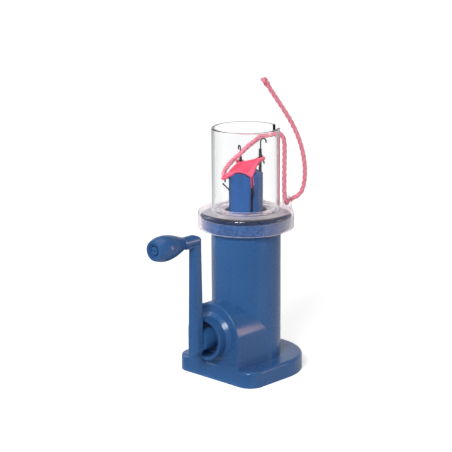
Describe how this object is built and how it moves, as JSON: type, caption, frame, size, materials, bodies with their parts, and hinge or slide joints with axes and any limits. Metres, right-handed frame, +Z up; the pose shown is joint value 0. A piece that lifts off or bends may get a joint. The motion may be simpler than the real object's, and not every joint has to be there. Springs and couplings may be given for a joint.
{
  "type": "i-cord maker",
  "caption": "Hand-cranked knitting mill: a crank and bevel gears turn a cylinder of latch needles inside a clear guard tube, and knitted cord leaves through the base.",
  "frame": {"origin": "on the needle cylinder's axis, in the plane that the base stands on, at the mouth of the cord outlet", "axes": "+Z up along the needle cylinder, -Y the way the crank shaft points out of the gear case"},
  "size_m": [0.063, 0.1129, 0.1799],
  "materials": {
    "blue_plastic": "smooth moulded, soft gloss",
    "dark_blue_plastic": "smooth moulded",
    "bright_blue_plastic": "smooth moulded, glossy",
    "clear_plastic": "clear moulded polystyrene",
    "white_nylon": "natural nylon",
    "zinc_steel": "zinc plated",
    "spring_steel": "dark spring steel",
    "needle_steel": "polished steel",
    "pink_yarn": "two-ply plied yarn"
  },
  "bodies": {
    "frame": {"housing": "blue_plastic", "bottom_plate": "dark_blue_plastic", "plate_screws": "zinc_steel", "thrust_washer": "white_nylon", "lower_cam": "white_nylon", "upper_cam": "white_nylon", "top_bearing_ring": "dark_blue_plastic", "clear_collar": "clear_plastic", "clear_tube": "clear_plastic", "yarn_eyelet": "clear_plastic", "crank_bush": "dark_blue_plastic", "yarn": "pink_yarn", "yarn_knot": "pink_yarn"},
    "crank": {"crank_arm": "blue_plastic", "crank_shaft": "zinc_steel", "shaft_clip": "spring_steel", "drive_pinion": "white_nylon", "knob_screw": "dark_blue_plastic", "knob_washer": "zinc_steel"},
    "knob": {"knob": "blue_plastic"},
    "needle_cylinder": {"needle_cylinder": "bright_blue_plastic", "ring_gear": "white_nylon", "knitted_cord": "pink_yarn"},
    "needle_1": {"needle_1": "needle_steel", "latch_pin_1": "needle_steel"},
    "latch_1": {"latch_1": "needle_steel"},
    "needle_2": {"needle_2": "needle_steel", "latch_pin_2": "needle_steel"},
    "latch_2": {"latch_2": "needle_steel"},
    "needle_3": {"needle_3": "needle_steel", "latch_pin_3": "needle_steel"},
    "latch_3": {"latch_3": "needle_steel"},
    "needle_4": {"needle_4": "needle_steel", "latch_pin_4": "needle_steel"},
    "latch_4": {"latch_4": "needle_steel"}
  },
  "joints": [
    {"name": "crank_turn", "type": "hinge", "parent": "frame", "child": "crank", "pos_m": [0, -0.045, 0.027], "axis": [0, -1, 0], "continuous": true},
    {"name": "knob_spin", "type": "hinge", "parent": "crank", "child": "knob", "pos_m": [0, -0.065, 0.0892], "axis": [0, -1, 0], "continuous": true},
    {"name": "cylinder_spin", "type": "hinge", "parent": "frame", "child": "needle_cylinder", "pos_m": [0, 0, 0.03], "axis": [0, 0, 1], "continuous": true},
    {"name": "needle_1_rise", "type": "slide", "parent": "needle_cylinder", "child": "needle_1", "axis": [0, 0, 1], "range_m": [-0.0281, 0.0016]},
    {"name": "latch_1_swing", "type": "hinge", "parent": "needle_1", "child": "latch_1", "pos_m": [0.0044, 0.00864, 0.134], "axis": [-0.891, 0.454, 0], "range_deg": [-123, 6]},
    {"name": "needle_2_rise", "type": "slide", "parent": "needle_cylinder", "child": "needle_2", "axis": [0, 0, 1], "range_m": [-0.0226, 0.0071]},
    {"name": "latch_2_swing", "type": "hinge", "parent": "needle_2", "child": "latch_2", "pos_m": [-0.00864, 0.0044, 0.1285], "axis": [-0.454, -0.891, 0], "range_deg": [-121, 8]},
    {"name": "needle_3_rise", "type": "slide", "parent": "needle_cylinder", "child": "needle_3", "axis": [0, 0, 1], "range_m": [-0.0061, 0.0236]},
    {"name": "latch_3_swing", "type": "hinge", "parent": "needle_3", "child": "latch_3", "pos_m": [-0.0044, -0.00864, 0.112], "axis": [0.891, -0.454, 0], "range_deg": [-4, 125]},
    {"name": "needle_4_rise", "type": "slide", "parent": "needle_cylinder", "child": "needle_4", "axis": [0, 0, 1], "range_m": [-0.0026, 0.0271]},
    {"name": "latch_4_swing", "type": "hinge", "parent": "needle_4", "child": "latch_4", "pos_m": [0.00864, -0.0044, 0.1085], "axis": [0.454, 0.891, 0], "range_deg": [0, 129]}
  ],
  "couplings": [
    {"joint": "cylinder_spin", "follows": "crank_turn", "ratio": 0.5}
  ]
}
